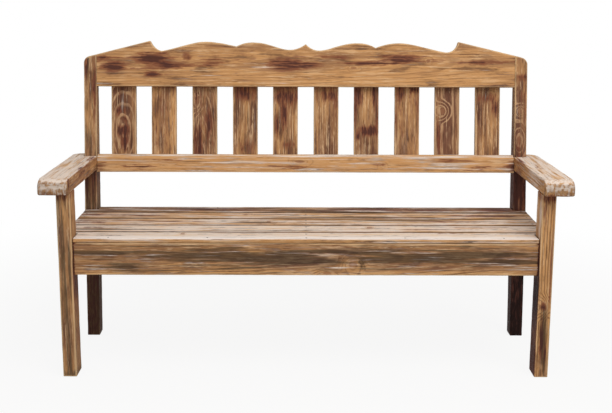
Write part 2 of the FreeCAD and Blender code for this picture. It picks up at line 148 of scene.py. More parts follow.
class BenchStage(bpy.types.PropertyGroup):
    """Camera, light and floor."""

    eye: bpy.props.FloatVectorProperty(
        name="Camera",
        description="Where the camera stands",
        default=(-0.02277, -3.47373, 1.22051),
        precision=5,
        unit="LENGTH",
        subtype="TRANSLATION",
    )
    lens: share("Lens", "Focal length in mm", 64.53)
    tilt: share("Tilt", "Down from level", 0.20848, "ANGLE")
    turn: share("Turn", "Towards +X", 0.00671, "ANGLE")
    roll: share("Roll", "About the line of sight", -0.0040, "ANGLE")
    sky: share("Sky", "Strength of the even light from all round", 0.5)
    key: share("Key", "Watts of the large lamp above and in front", 95.0)
    fill: share("Fill", "Watts of the low lamp in front", 12.0)
    floor: colour("Floor", "Painted studio floor", "#cbc8c4")


SETTINGS = {
    "bench_boards": BenchBoards,
    "bench_wood": BenchWood,
    "bench_fasteners": BenchFasteners,
    "bench_stage": BenchStage,
}


# ---------------------------------------------------------------- the packed boards


def node_points(node):
    """The corners of a packed piece, each once."""
    rounded = {tuple(round(c, 6) for c in v.co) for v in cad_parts[node].data.vertices}
    return [Vector(p) for p in sorted(rounded)]


def between_legs(node):
    """The corners of a packed rail without its tenons."""
    return [p for p in node_points(node) if abs(p.x) < inner_x + ON_PLANE]


def on_sides(node):
    """The corners of a packed post or rail that lie on its left and right sides."""
    low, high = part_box(node)
    return [p for p in node_points(node) if min(abs(p.x - low.x), abs(p.x - high.x)) < ON_PLANE]


def broad_side(node):
    """The direction that a packed board's largest flat side looks in."""
    sides = {}
    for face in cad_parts[node].data.polygons:
        key = tuple(round(c, 2) for c in face.normal)
        sides[key] = sides.get(key, Vector()) + face.normal * face.area
    return max(sides.values(), key=lambda side: side.length).normalized()


back_front = broad_side("back_slat_01")
back_front = back_front if back_front.y < 0 else -back_front
back_up = back_front.cross(X)
inner_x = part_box("front_leg_right")[0].x
slat_count = sum(name.startswith("back_slat_") and name[-1].isdigit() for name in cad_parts)
seat_count = sum(name.startswith("seat_slat_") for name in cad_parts)
slat_pitch = (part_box("back_slat_%02d" % slat_count)[0].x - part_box("back_slat_01")[0].x) / (slat_count - 1)

# Grain direction and the direction across the board's broad side
GRAIN = {"rail": (X, Z), "seat": (X, Y), "side_rail": (Y, Z), "arm": (-Y, X), "leg": (Z, X)}
GRAIN |= {"back_rail": (X, back_up), "back_slat": (back_up, X), "post": (back_up, X)}

# The record's slots and the finishes made here for them
FINISHES = {
    "burnt_pine": "Singed and brushed pine",
    "bleached_pine": "Weathered pine",
    "charred_pine": "Charred pine",
    "blackened_steel": "Oil-blackened steel",
}

# How each board looks: finish, grain, tone from umber to honey, bleaching and painted sheen, soot, then knots and
# burns.
# A board has a round knot, or None, and a drawn-out one. A knot is (along, across, radius) and a burn
# (along, across, half length, half width, strength), in millimetres from the middle of the board. A
# burn of negative strength is a lighter patch. A burn may also be on the board's inner side alone, or be
# sooty, grey instead of red, or faded, which is no burn but bleached wood.
# Some burns stand for painted shade; the entries below say which.
LOOKS = {
    "crest_rail": ("burnt_pine", "back_rail", 0.62, 0.05, 0.05, [(413, 12, 6), (161, -12, 5)], [
        (-650, -10, 40, 16, 1.1), (-520, 16, 60, 18, 1.15), (-470, -4, 70, 12, 1.05), (-520, -34, 22, 10, 0.95),
        (-400, 18, 18, 16, 0.9), (-330, 6, 60, 16, 0.75), (-60, 0, 70, 20, 1.0), (0, -4, 50, 14, 1.0),
        (322, 18, 70, 14, 1.05), (230, 4, 110, 7, 1.0), (440, 14, 50, 5, 0.7), (610, 8, 110, 9, 0.85),
        (-690, 14, 40, 14, 0.75), (120, 24, 80, 7, 0.75), (-580, 0, 160, 34, 0.45), (0, -58, 700, 9, -0.3),
        (330, -30, 330, 20, -0.35), (-180, 10, 130, 24, 0.35), (-135, -10, 36, 8, 0.6, "faded"),
        (-345, -40, 50, 5, 0.4, "faded"), (-90, -64, 60, 4, 0.45, "faded"),
    ]),
    "lower_back_rail": ("burnt_pine", "back_rail", 1.05, 0.6, 0.0, [(262, -4, 6), (-20, 6, 7)], [
        (245, -2, 45, 5, 0.7), (-700, -14, 24, 16, 0.85), (480, 10, 90, 5, 0.6), (-470, 10, 60, 4, 0.6),
        (-560, -16, 60, 8, 0.75), (-60, -14, 90, 6, 0.6), (600, -14, 60, 8, 0.7), (702, -6, 18, 18, 0.85),
    ]),
    # On both rear posts the long dark lower part and the dark stretch between seat and arm are burn and painted
    # shade under the seat and arm together
    "rear_post_left": ("burnt_pine", "post", 0.5, 0.05, 0.25, [], [
        (-480, 0, 420, 90, 0.85), (60, 0, 90, 90, 0.75), (-480, 0, 440, 90, 0.85, "sooty"), (330, 14, 120, 6, 0.9),
        (440, -16, 50, 6, 1.0),
    ]),
    "rear_post_right": ("burnt_pine", "post", 0.28, 0.05, 0.35, [(292, -2, 8), (195, -4, 9)], [
        (-480, 0, 420, 90, 1.7), (-480, 0, 420, 90, 0.45, "sooty"), (40, 0, 90, 90, 1.2), (300, 16, 90, 4, 0.7),
        (345, 0, 30, 14, 0.6), (440, 0, 60, 60, -0.5), (405, 0, 14, 30, 0.8),
    ]),
    # On both front legs the dark band at the top end, just under the arm, is painted shade; the inner-side burns
    # that darken are burn and painted shade under the seat together
    "front_leg_left": ("burnt_pine", "leg", 0.58, 0.1, 0.28, [], [
        (-140, 2, 150, 6, 0.65, "sooty"), (130, -8, 110, 6, 0.5, "sooty"), (-60, -14, 70, 5, 0.45, "sooty"),
        (60, 10, 90, 5, 0.5, "sooty"), (-285, 0, 16, 40, 0.5, "sooty"), (150, -19, 130, 5, 0.6, "sooty"),
        (285, 0, 18, 40, 0.8), (0, 0, 90, 60, 0.9, "inner"), (-160, 0, 90, 60, 0.6, "inner"),
    ]),
    "front_leg_right": ("burnt_pine", "leg", 0.7, 0.15, 0.1, [(-62, -4, 12)], [
        (-150, 0, 85, 10, 0.85, "sooty"), (-165, -5, 56, 6, 1.35), (-205, 8, 30, 4, 1.0), (-58, -3, 8, 6, 1.5),
        (230, -10, 70, 6, 0.7), (60, 14, 110, 4, 0.7), (-240, 8, 40, 5, 0.5, "sooty"), (280, 0, 14, 40, 0.8),
        (-40, 0, 110, 60, 1.8, "inner"), (-230, 0, 110, 60, 1.3, "inner"), (210, 0, 70, 60, 0.75, "inner", "faded"),
    ]),
    "arm_left": ("bleached_pine", "arm", 0.5, 0.82, 0.2, [(-60, 20, 9)], [
        (-150, 36, 60, 8, 0.8), (60, 40, 60, 7, 0.8), (40, 40, 160, 16, 0.6, "inner"),
        (262, 45, 14, 20, 1.0, "inner"), (332, 10, 9, 60, 0.7),
    ]),
    "arm_right": ("bleached_pine", "arm", 0.68, 0.78, 0.2, [(40, -6, 8)], [
        (10, -18, 50, 7, 0.7), (-120, -40, 60, 8, 0.8), (160, -40, 60, 14, 0.5, "inner"), (332, 0, 9, 70, 0.7),
        (90, -45, 160, 40, 0.42, "inner", "faded"),
    ]),
    "seat_slat_1": ("bleached_pine", "seat", 0.9, 1.0, 0.05, [(-380, 10, 8)], [(420, 30, 90, 5, 0.6)]),
    "seat_slat_2": ("bleached_pine", "seat", 0.9, 0.85, 0.1, [(200, 8, 9)], [
        (-600, -16, 160, 6, 1.0, "sooty"), (420, -8, 120, 5, 0.9), (-660, 10, 60, 8, 0.8), (560, 20, 90, 5, 0.8),
        (-100, -26, 140, 4, 0.9, "sooty"),
    ]),
    "seat_slat_3": ("bleached_pine", "seat", 0.85, 0.62, 0.25, [(-120, 0, 8)], [
        (-480, 6, 150, 6, 1.0), (520, 8, 130, 7, 1.1), (60, -16, 100, 5, 0.9), (-200, -10, 80, 6, 0.7, "sooty"),
        (-700, 0, 60, 20, 0.8), (300, 20, 140, 5, 0.9, "sooty"),
    ]),
    "seat_slat_4": ("bleached_pine", "seat", 0.9, 0.54, 0.25, [(-200, 6, 8)], [
        (-560, 0, 110, 6, 1.0), (140, -24, 190, 7, 0.8, "sooty"), (590, 0, 100, 14, 1.0), (-700, 10, 50, 20, 0.9),
        (-120, 14, 120, 5, 0.8), (330, -28, 120, 5, 1.0),
    ]),
    "seat_slat_5": ("bleached_pine", "seat", 0.36, 0.4, 0.5, [(340, 5, 9)], [
        (-300, 0, 260, 24, 0.75), (300, 0, 300, 26, 0.8), (650, 0, 80, 30, 0.9),
    ]),
    "front_apron": ("burnt_pine", "rail", 0.44, 0.3, 0.36, [(141, -14, 13), (64, -44, 7)], [
        (-330, 12, 140, 9, 0.7, "sooty"), (-120, 0, 120, 9, 0.75, "sooty"), (-30, 14, 80, 8, 0.7, "sooty"),
        (330, 4, 120, 8, 0.85, "sooty"), (520, 16, 150, 7, 0.7, "sooty"), (-560, -26, 40, 5, 0.7, "sooty"),
        (620, -6, 70, 6, 0.6, "sooty"), (20, -8, 70, 7, 0.7, "sooty"), (-620, 16, 80, 6, 0.6, "sooty"),
        (180, 24, 120, 6, 0.6, "sooty"), (0, -52, 800, 10, -0.7), (141, -14, 24, 12, -0.9),
        (141, -14, 11, 8, 0.45, "faded"), (100, -26, 24, 3, 0.35, "faded"), (170, -8, 8, 12, 0.6, "sooty"),
        # The two narrow dark ends, where the apron meets the legs, are painted shade of the recessed joint, drawn as
        # burns
        (-709, 0, 3, 60, 2.4), (709, 0, 3, 60, 2.4),
    ]),
    "rear_seat_rail": ("charred_pine", "rail", 0.3, 0.1, 0.5, [(-250, 10, 9)], [(0, 0, 500, 40, 0.8)]),
    "side_rail_left": ("charred_pine", "side_rail", 0.35, 0.1, 0.5, [], [(0, 0, 200, 50, 0.8)]),
    "side_rail_right": ("charred_pine", "side_rail", 0.35, 0.1, 0.5, [], [(0, 0, 200, 50, 0.8)]),
    "middle_bearer": ("charred_pine", "side_rail", 0.35, 0.1, 0.5, [], []),
}

# The ten back slats from left to right, without what they share: finish, grain and a dark band along the top, which
# is painted shade under the crest rail
SLATS = (
    (0.16, 0.0, 0.15, [], [
        (-38, 0, 20, 20, 1.15), (-78, 3, 26, 10, 1.25), (26, -12, 13, 13, 0.95), (-4, 2, 8, 14, 0.9),
        (84, -4, 14, 14, 0.6),
    ]),
    (0.58, 0.05, 0.1, [], [(0, 0, 150, 60, 0.42)]),
    (0.2, 0.0, 0.2, [None, (62, -26, 8)], [
        (-80, -22, 60, 14, 0.95), (-10, 16, 50, 12, 0.8), (70, -26, 24, 10, 0.7), (0, 0, 110, 60, 0.45),
    ]),
    (0.5, 0.0, 0.25, [], [(86, 0, 24, 48, 0.95), (-95, 0, 30, 40, 0.6)]),
    (0.55, 0.0, 0.15, [], [
        (78, 4, 28, 40, 0.95), (14, -4, 45, 9, 1.05), (-88, 6, 14, 18, 0.75), (-20, -30, 40, 8, 0.7),
    ]),
    (0.42, 0.0, 0.15, [], [(82, 10, 22, 34, 0.95), (60, 34, 60, 8, 0.75)]),
    (0.2, 0.0, 0.3, [], [
        (84, -30, 34, 14, 1.1), (90, 30, 50, 10, 1.0), (-38, 8, 15, 34, 1.15), (-56, -28, 14, 10, 0.9),
        (10, 36, 90, 7, 0.75), (30, -38, 60, 7, 0.8), (40, 4, 46, 14, -0.5),
    ]),
    (0.4, 0.05, 0.1, [], [
        (88, -22, 20, 16, 0.95), (100, 20, 14, 16, 0.8), (0, -38, 90, 5, 0.7), (0, 0, 150, 60, 0.42),
    ]),
    (0.12, 0.0, 0.1, [(29, -16, 11)], [(-50, -24, 60, 9, 0.7)]),
    (0.46, 0.05, 0.1, [], [(74, 0, 16, 34, 0.85), (48, 26, 30, 10, 0.8)]),
)
for number, (*tints, knots, burns) in enumerate(SLATS, 1):
    # A dark band along each slat's top end, drawn as a burn, is painted shade under the crest rail
    burns.append((118, 0, 5, 60, 1.0))
    LOOKS["back_slat_%02d" % number] = ("burnt_pine", "back_slat", *tints, knots, burns)

# How a board's grain differs from the rest: strength of the year rings, ring width and depth of the
# pith below the board in mm, strength of the hairs, and how far the pith leans towards the board per
# length of it, which draws the rings out into arches
FIGURES = {
    "back_slat_01": (1.3, 15.0, 7.0, 0.8, 0.42),
    "back_slat_03": (1.0, 9.0, 34.0, 1.1, 0.2),
    "back_slat_09": (1.3, 10.0, 22.0, 0.7, 0.0),
    "rear_post_right": (1.0, 9.0, 30.0, 0.9, 0.0),
    "front_leg_right": (1.2, 9.0, 36.0, 0.9, 0.02),
    "crest_rail": (0.5, 9.0, 40.0, 0.7, 0.05),
    "lower_back_rail": (0.4, 8.0, 60.0, 0.8, 0.0),
    "front_apron": (0.9, 9.0, 40.0, 0.9, 0.06),
    "arm_left": (0.5, 7.5, 60.0, 0.75, 0.0),
    "arm_right": (0.5, 7.5, 70.0, 0.75, 0.0),
}

# The seat is seen at so low an angle that its streaks would blur: they are drawn twice as wide
STRETCH = {"seat": (1, 0.5, 1)}

# Share of a board's bleaching that its front face gets
FRONT_BLEACH = {"arm": 1.0, "seat": 0.45, "rail": 0.8, "back_rail": 0.65}


# ---------------------------------------------------------------- shapes


def new_piece(name, mesh):
    piece = bpy.data.objects.new(name, mesh)
    bpy.context.scene.collection.objects.link(piece)
    return piece


def as_mesh(name, board):
    mesh = bpy.data.meshes.new(name)
    board.to_mesh(mesh)
    board.free()
    return mesh


def as_board(mesh):
    board = bmesh.new()
    board.from_mesh(mesh)
    return board


def settled(piece):
    """The mesh that the piece's modifiers leave. The piece itself is used up."""
    bpy.context.view_layer.update()
    mesh = bpy.data.meshes.new_from_object(piece.evaluated_get(bpy.context.evaluated_depsgraph_get()))
    start = piece.data
    bpy.data.objects.remove(piece)
    bpy.data.meshes.remove(start)
    return mesh


def squared(board, weld, flat):
    """The board with corners nearer than weld made one, and faces within flat degrees made one."""
    bmesh.ops.remove_doubles(board, verts=board.verts[:], dist=weld)
    bmesh.ops.dissolve_limit(board, angle_limit=math.radians(flat), verts=board.verts[:], edges=board.edges[:])
    bmesh.ops.recalc_face_normals(board, faces=board.faces[:])
    return board


def hull(points):
    """The closed solid stretched over the points, with its flat sides in one face each."""
    solid = bmesh.new()
    for point in points:
        solid.verts.new(point)
    bmesh.ops.convex_hull(solid, input=solid.verts[:])
    bmesh.ops.delete(solid, geom=[v for v in solid.verts if not v.link_faces], context="VERTS")
    return squared(solid, 2 * WELD, 0.6)


def outline(node, side):
    """The outer outline of a packed board's flat side that looks along side."""
    shell = as_board(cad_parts[node].data)
    bmesh.ops.remove_doubles(shell, verts=shell.verts[:], dist=WELD)
    reach = max(v.co.dot(side) for v in shell.verts)
    flat = {f for f in shell.faces if f.normal.dot(side) > 0.9999}
    flat = {f for f in flat if abs(f.calc_center_median().dot(side) - reach) < ON_PLANE / 2}
    neighbours = {}
    for edge in shell.edges:
        if sum(face in flat for face in edge.link_faces) == 1:
            one, other = edge.verts
            neighbours.setdefault(one, []).append(other)
            neighbours.setdefault(other, []).append(one)
    loops = []
    unused = dict(neighbours)
    while unused:
        loop = [unused.popitem()[0]]
        following = neighbours[loop[0]][0]
        while following is not loop[0]:
            loop.append(following)
            unused.pop(following, None)
            following = next(v for v in neighbours[following] if v is not loop[-2])
        loops.append([v.co[:] for v in loop])
    shell.free()
    loop = max(loops, key=lambda loop: sum(map(math.dist, loop, loop[1:] + loop[:1])))
    # It starts at the same corner and turns the same way in each run
    first = loop.index(min(loop))
    loop = loop[first:] + loop[:first]
    return loop if loop[1] < loop[-1] else loop[:1] + loop[:0:-1]


def thick(node, side):
    """A packed board rebuilt from its outline and its thickness, without the holes in it."""
    depths = [p.dot(side) for p in node_points(node)]
    through = side * (min(depths) - max(depths))
    board = bmesh.new()
    rim = [Vector(p) for p in outline(node, side)]
    near, far = ([board.verts.new(p + moved) for p in rim] for moved in (Vector(), through))
    board.faces.new(near)
    board.faces.new(far)
    for i in range(len(rim)):
        board.faces.new((near[i - 1], near[i], far[i], far[i - 1]))
    return squared(board, 0, 0.3)


def carved(board, tools):
    """The board with each of the closed solids cut out of it."""
    piece = new_piece("board", as_mesh("board", board))
    helpers = [new_piece("tool", as_mesh("tool", tool)) for tool in tools]
    for helper in helpers:
        cut = piece.modifiers.new("Cut", "BOOLEAN")
        cut.operation = "DIFFERENCE"
        cut.solver = "EXACT"
        cut.object = helper
    result = settled(piece)
    for helper in helpers:
        bpy.data.objects.remove(helper)
    board = as_board(result)
    bpy.data.meshes.remove(result)
    return squared(board, 2 * WELD, 0.3)


def dotted(a, b):
    """Points from a to b, near enough to each other to stand for the whole edge."""
    spacing = 0.004
    steps = max(1, int((a - b).length / spacing))
    return [a.lerp(b, i / steps) for i in range(steps + 1)]


def worn(board, along, open_ends=(True, True)):
    """The board with its edges rounded, and points all along the edges that use has worn."""
    sizes = bpy.context.scene.bench_boards
    places = [v.co.dot(along) for v in board.verts]
    low_end, high_end = min(places) + sizes.open_edge, max(places) - sizes.open_edge
    least_corner = math.radians(25)
    weight = board.edges.layers.float.new("bevel_weight_edge")
    near = []
    for edge in board.edges:
        if len(edge.link_faces) != 2 or not edge.is_convex or edge.calc_face_angle(0) < least_corner:
            continue
        a, b = (v.co for v in edge.verts)
        at_low = max(a.dot(along), b.dot(along)) < low_end
        at_high = min(a.dot(along), b.dot(along)) > high_end
        jointed = (at_low and not open_ends[0]) or (at_high and not open_ends[1])
        edge[weight] = sizes.joint_edge / sizes.open_edge if jointed else 1.0
        if not jointed:
            near += dotted(a, b)
    piece = new_piece("board", as_mesh("board", board))
    bevel = piece.modifiers.new("Worn edges", "BEVEL")
    bevel.width = sizes.open_edge
    bevel.segments = 3
    bevel.limit_method = "WEIGHT"
    bevel.use_clamp_overlap = False
    rounded = settled(piece)
    board = as_board(rounded)
    bpy.data.meshes.remove(rounded)
    # A line of mesh inside each broad face's rim keeps the pale edge narrow
    band = sizes.wear_band * 0.7
    sides = [f for f in board.faces if f.calc_area() > f.calc_perimeter() * band * 0.75]
    bmesh.ops.inset_individual(board, faces=sides, thickness=band, use_even_offset=True)
    return board, near


def meshed(board, along, across, near):
    """Lays evenly spaced mesh lines over the board, and notes how near each point is to a worn edge."""
    sizes = bpy.context.scene.bench_boards
    snap = 0.0004
    nearby = kdtree.KDTree(len(near))
    for i, point in enumerate(near):
        nearby.insert(point, i)
    nearby.balance()
    for direction, spacing in ((along, sizes.station), (across, sizes.row), (along.cross(across), sizes.row)):
        places = [v.co.dot(direction) for v in board.verts]
        low, high = min(places), max(places)
        steps = int((high - low) / spacing)
        for i in range(1, steps):
            point = direction * (low + (high - low) * i / steps)
            everything = board.verts[:] + board.edges[:] + board.faces[:]
            bmesh.ops.bisect_plane(board, geom=everything, dist=snap, plane_co=point, plane_no=direction)
    mesh = as_mesh("board", board)
    wear = mesh.attributes.new("wear", "FLOAT", "POINT")
    for i, vertex in enumerate(mesh.vertices):
        distance = nearby.find(vertex.co)[2] - sizes.open_edge * 0.6
        wear.data[i].value = max(0.0, min(1.0, 1 - distance / sizes.wear_band))
    return mesh


def scorched_and_shaded(burns, local, inner):
    """How much a board's burns leave each of its points burnt, paler, sooty and faded. Some burns are painted shade,
    which the burnt field carries too.
    """
    burn, paler, sooty, faded = np.zeros((4, len(local)))
    for x, y, half_length, half_width, strength, *words in burns:
        spread = ((local[:, 0] * 1000 - x) / half_length) ** 2 + ((local[:, 1] * 1000 - y) / half_width) ** 2
        level = abs(strength) * np.exp(-0.5 * spread)
        if "inner" in words:
            level *= inner
        field = sooty if "sooty" in words else faded if "faded" in words else paler if strength < 0 else burn
        np.maximum(field, level, out=field)
    return burn, paler, sooty, faded


def hollowed(places, wear):
    """How deep planing, brushing and chipping have taken each point."""
    sizes = bpy.context.scene.bench_boards
    waves, ripples, chips = 7.0, 23.0, 45.0  # to the metre
    depths = np.zeros(len(places))
    for i, place in enumerate(map(Vector, places)):
        broad = noise.noise(place * waves) + 0.5 * noise.noise(place * ripples)
        chipped = noise.noise(place * chips + X * 9.0) - 0.1
        depths[i] = sizes.unevenness * min(1.0, max(0.0, 0.5 + 0.5 * broad))
        depths[i] += sizes.chip * max(0.0, chipped) * wear[i]
    return depths


def weathered(mesh, boards):
    """Wears the mesh unevenly and writes where each point lies in its board, for the pine to read."""
    sizes = bpy.context.scene.bench_boards
    count = len(mesh.vertices)
    places = np.zeros((count, 3))
    mesh.vertices.foreach_get("co", places.ravel())
    normals = np.array([n.vector[:] for n in mesh.vertex_normals])
    wear = np.zeros(count)
    mesh.attributes["wear"].data.foreach_get("value", wear)
    which = np.zeros(count, int)
    if "board" in mesh.attributes:
        mesh.attributes["board"].data.foreach_get("value", which)

    names = ("grain", "pith", "finish", "marks", "figure", "knot_a", "knot_b")
    values = {name: np.zeros((count, 3)) for name in names}
    for index, node in enumerate(boards):
        kind, tone, bleach_and_sheen, soot, knots, burns = LOOKS[node][1:]
        chance = random.Random(node)
        plain = (0.5, 7.5, chance.uniform(45, 90), 1.0, 0.0)
        rings, ring_width, depth, hairs, lean = FIGURES.get(node, plain)
        along, across = GRAIN[kind]
        axes = np.array([along, across, along.cross(across)])
        own = which == index
        facing = normals[own]
        local = places[own] @ axes.T
        local -= (local.min(0) + local.max(0)) / 2
        if kind == "arm":
            # The streaks run on over the rolled nose and down its front
            nose = local[:, 0].max()
            fold = np.clip((local[:, 0] - nose) / sizes.nose_roll + 1.3, 0, 1)
            local[:, 0] += fold * (local[:, 2].max() - local[:, 2])
            local[:, 2] *= 1 - fold
            past_nose = local[:, 0] - nose
        start = np.array([10.0 * chance.randint(1, 40), chance.uniform(-0.012, 0.012), depth / 1000])
        side = chance.choice((-1, 1))
        start[2] *= side
        values["grain"][own] = local * STRETCH.get(kind, 1) + start
        values["pith"][own] = values["grain"][own] * (0, 1, 1)
        values["pith"][own, 2] += side * lean * local[:, 0]
        if kind == "arm":
            # Across the cut end the streaks are this many times shorter, which mottles it
            shortened = 12
            values["grain"][own, 0] += shortened * np.maximum(past_nose + 0.01, 0)
        cut_end = np.clip(np.abs(facing @ axes[0]), 0, 1)
        values["figure"][own, 0] = rings
        values["figure"][own, 1] = ring_width / 1000
        values["figure"][own, 2] = hairs * (1 - 0.7 * cut_end)
        for name, knot in zip(("knot_a", "knot_b"), knots):
            if knot:
                x, y, radius = knot
                values[name][own] = (start[0] + x / 1000, start[1] + y / 1000, radius / 1000)

        inward = -np.sign(places[own, 0].mean())
        burn, paler, sooty, faded = scorched_and_shaded(burns, local, np.clip(facing[:, 0] * inward, 0, 1))
        # Upper faces are paler, partly from sun bleaching and partly as painted sheen of the white surroundings;
        # front faces get a share of the bleaching
        upward = np.clip((facing[:, 2] - 0.1) / 0.7, 0.15, 1)
        forward = np.clip(-facing[:, 1], 0, 1) * FRONT_BLEACH.get(kind, 0)
        pale = bleach_and_sheen * np.maximum(upward, forward) + faded

        bare = wear[own] * np.clip(1.3 - burn, 0, 1)
        dirt_and_gap_shade = np.zeros(own.sum())
        if kind == "seat":
            # Legs rub the front slat pale along its front edge; its other worn edges and all those of the other
            # slats get soiling and painted shade of the gaps between the slats
            clean, rubbed = 0.015, 0.035
            reach = local[:, 1] - local[:, 1].min() if node == "seat_slat_1" else np.ones(own.sum())
            dirt_and_gap_shade = np.where(reach > clean, bare, 0)
            bare = upward * np.clip(1.5 - reach / rubbed, 0, 1)
        elif kind == "arm":
            # Hands have rubbed the grey off the front of the nose, most of all along its lower edge
            bare *= 0.4
            dirt_and_gap_shade = 0.64 * np.clip((past_nose + 0.015) / 0.02, 0, 1)
            pale *= 1 - 0.45 * np.clip((past_nose - 0.022) / 0.016, 0, 1)
        values["finish"][own] = np.stack([tone + paler, pale, soot + sooty], 1)
        values["marks"][own] = np.stack([burn, bare, dirt_and_gap_shade], 1)

    mesh.vertices.foreach_set("co", (places - normals * hollowed(places, wear)[:, None]).ravel())

    for name, vectors in values.items():
        mesh.attributes.new(name, "FLOAT_VECTOR", "POINT").data.foreach_set("vector", vectors.ravel())
    mesh.polygons.foreach_set("use_smooth", np.ones(len(mesh.polygons), bool))
    mesh.update()
    return mesh


def hang_up(name, mesh, nodes, slot):
    """Makes the finished piece, which stands for its packed boards."""
    piece = new_piece(name, mesh)
    mesh.name = name
    mesh.materials.clear()
    mesh.materials.append(bpy.data.materials[FINISHES[slot]])
    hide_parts(*nodes)
    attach(piece, "root")


def dress(node, board, near):
    """Marks and hangs up one board with its worn edges."""
    slot, kind = LOOKS[node][:2]
    hang_up("worn_" + node, weathered(meshed(board, *GRAIN[kind], near), [node]), [node], slot)


# ---------------------------------------------------------------- node trees

MATH = "ShaderNodeMath"
VECTOR_MATH = "ShaderNodeVectorMath"
MAP_RANGE = "ShaderNodeMapRange"
SMOOTH = {"interpolation_type": "SMOOTHSTEP"}
SUBTRACT, MULTIPLY, MULTIPLY_ADD, DIVIDE, MAXIMUM, FRACT, LENGTH = (
    {"operation": name} for name in ("SUBTRACT", "MULTIPLY", "MULTIPLY_ADD", "DIVIDE", "MAXIMUM", "FRACT", "LENGTH")
)


def add(tree, kind, settings, links):
    """Adds a node with its settings. Each input, by name or in order, gets a value, another node's
    output, or another node, which stands for the output that it has in use."""
    node = tree.nodes.new(kind)
    for name, value in settings.items():
        setattr(node, name, value)
    for key, value in links.items() if isinstance(links, dict) else enumerate(links):
        socket = node.inputs[key]
        if isinstance(value, bpy.types.Node):
            value = next(output for output in value.outputs if output.enabled)
        if isinstance(value, bpy.types.NodeSocket):
            tree.links.new(value, socket)
        elif socket.type == "RGBA":
            socket.default_value = (*value, 1)
        else:
            socket.default_value = value
    return node


def emptied(block):
    """The node tree of a new material or world, with nothing in it."""
    block.use_nodes = True
    block.node_tree.nodes.clear()
    return block.node_tree


def grain_tree():
    """Year rings, hairs, streaks and knots of pine, read from where each point lies in its board."""
    tree = bpy.data.node_groups.new("Pine grain", "ShaderNodeTree")
    tree.interface.new_socket("Wander", in_out="INPUT", socket_type="NodeSocketFloat")
    wander = tree.nodes.new("NodeGroupInput").outputs[0]
    read = {}
    for name in ("grain", "pith", "figure", "knot_a", "knot_b"):
        read[name] = add(tree, "ShaderNodeAttribute", {"attribute_name": name}, {}).outputs["Vector"]
    strength, ring_width, hairs = add(tree, "ShaderNodeSeparateXYZ", {}, (read["figure"],)).outputs

    # Length and width in millimetres of the marks that each noise draws. Real brushed hairs are
    # 1 to 2 mm wide, too fine to show, so the fine ones are drawn about twice as coarse.
    noises = {}
    for name, mark_length, mark_width, detail in (
        ("Wander", 420, 70, 2.0),
        ("Fine", 170, 4.2, 1.5),
        ("Grit", 30, 6.5, 2.5),
        ("Streak", 230, 9, 4.0),
        ("Blotch", 120, 30, 4.0),
        ("Cloud", 300, 48, 3.0),
    ):
        scale = (1000 / mark_length, 1000 / mark_width, 1000 / mark_width)
        stretched = add(tree, VECTOR_MATH, MULTIPLY, (read["grain"], scale))
        links = {"Vector": stretched, "Scale": 1.0, "Detail": detail, "Roughness": 0.6}
        noises[name] = add(tree, "ShaderNodeTexNoise", {}, links)

    radius = add(tree, VECTOR_MATH, LENGTH, (read["pith"],))
    stray = add(tree, MATH, SUBTRACT, (noises["Wander"], 0.5))
    for factor, amount in ((stray, wander), (noises["Grit"], 0.0018)):
        radius = add(tree, MATH, MULTIPLY_ADD, (factor, amount, radius))
    hearts, rims = [], []
    for name, drawn_out in (("knot_a", 0.8), ("knot_b", 0.42)):
        size = add(tree, "ShaderNodeSeparateXYZ", {}, (read[name],)).outputs["Z"]
        size = add(tree, MATH, MAXIMUM, (size, 0.0001))
        apart = add(tree, VECTOR_MATH, SUBTRACT, (read["grain"], read[name]))
        apart = add(tree, VECTOR_MATH, MULTIPLY, (apart, (drawn_out, 1, 0)))
        ratio = add(tree, MATH, DIVIDE, (add(tree, VECTOR_MATH, LENGTH, (apart,)), size))
        # The rings swing out round the knot, whose own edge is ragged
        bulge = add(tree, MATH, MULTIPLY, (add(tree, MAP_RANGE, SMOOTH, (ratio, 3.4, 0.4)), size))
        radius = add(tree, MATH, MULTIPLY_ADD, (bulge, 2.4, radius))
        for line, weight in (("Fine", 0.6), ("Grit", 0.9)):
            ratio = add(tree, MATH, MULTIPLY_ADD, (noises[line], weight, ratio))
        hearts.append(add(tree, MAP_RANGE, SMOOTH, (ratio, 1.75, 1.25)))
        outer, inner = (add(tree, MAP_RANGE, SMOOTH, (ratio, *ends)) for ends in ((2.15, 1.9), (1.6, 1.85)))
        rims.append(add(tree, MATH, MULTIPLY, (outer, inner)))
    within = add(tree, MATH, FRACT, (add(tree, MATH, DIVIDE, (radius, ring_width)),))
    # A ring darkens slowly and ends at once, and fades out in patches
    ring = add(tree, MAP_RANGE, SMOOTH, (within, 0.5, 0.8))
    ended = add(tree, MAP_RANGE, SMOOTH, (within, 1.0, 0.86))
    patchy = add(tree, MAP_RANGE, SMOOTH, (noises["Blotch"], 0.36, 0.52, 0.4, 1.0))
    for factor in (ended, patchy, strength):
        ring = add(tree, MATH, MULTIPLY, (ring, factor))
    drawn = {"Ring": ring, "Knot": add(tree, MATH, MAXIMUM, hearts), "Rim": add(tree, MATH, MAXIMUM, rims)}
    for name in ("Fine", "Grit"):
        drawn[name] = add(tree, MATH, MULTIPLY_ADD, (add(tree, MATH, SUBTRACT, (noises[name], 0.5)), hairs, 0.5))
    for name in ("Streak", "Blotch", "Cloud"):
        drawn[name] = noises[name]
    for name in drawn:
        tree.interface.new_socket(name, in_out="OUTPUT", socket_type="NodeSocketFloat")
    add(tree, "NodeGroupOutput", {}, drawn)
    return tree


